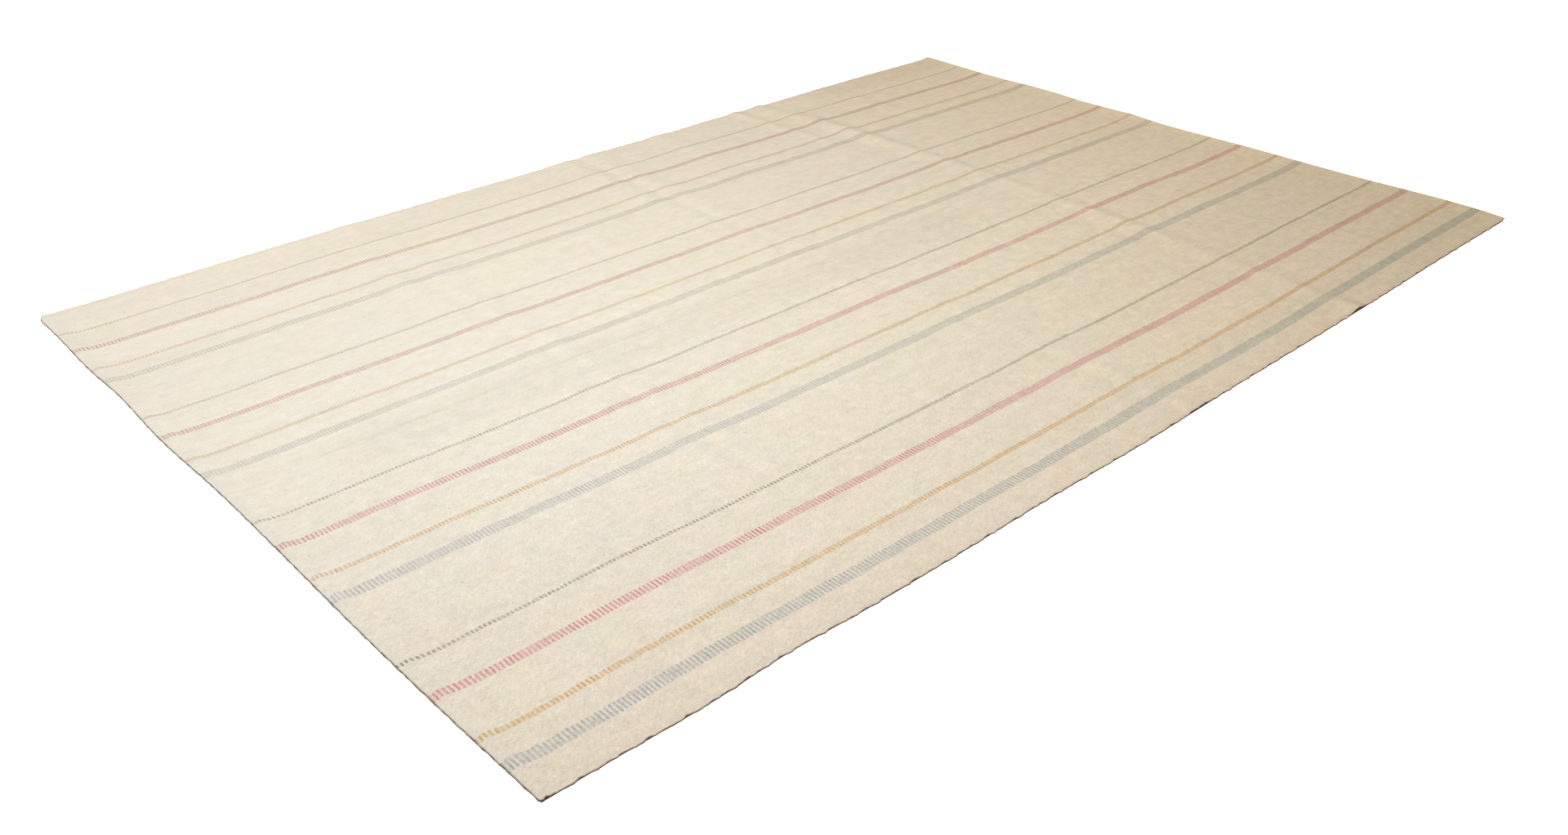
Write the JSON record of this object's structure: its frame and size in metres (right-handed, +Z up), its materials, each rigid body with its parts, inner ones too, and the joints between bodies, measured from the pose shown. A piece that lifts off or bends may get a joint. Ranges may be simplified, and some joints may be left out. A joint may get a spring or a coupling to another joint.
{
  "type": "persian kilim",
  "caption": "Flat-woven wool rug lying open, cream with narrow barred stripes in grey-blue, ochre, rose and grey along its length, and low ridges left by folding.",
  "frame": {"origin": "centre of the rug's footprint, on the floor", "axes": "+X along the rug's length and its stripes, +Y across it towards the far warp end, +Z up"},
  "size_m": [3.0186, 2.0466, 0.0122],
  "materials": {
    "wool_weave": "matt weft-faced wool, cream with barred stripes in grey-blue, ochre, rose and dark grey, slightly mottled"
  },
  "bodies": {
    "root": {"woven_panel": "wool_weave"}
  },
  "joints": []
}
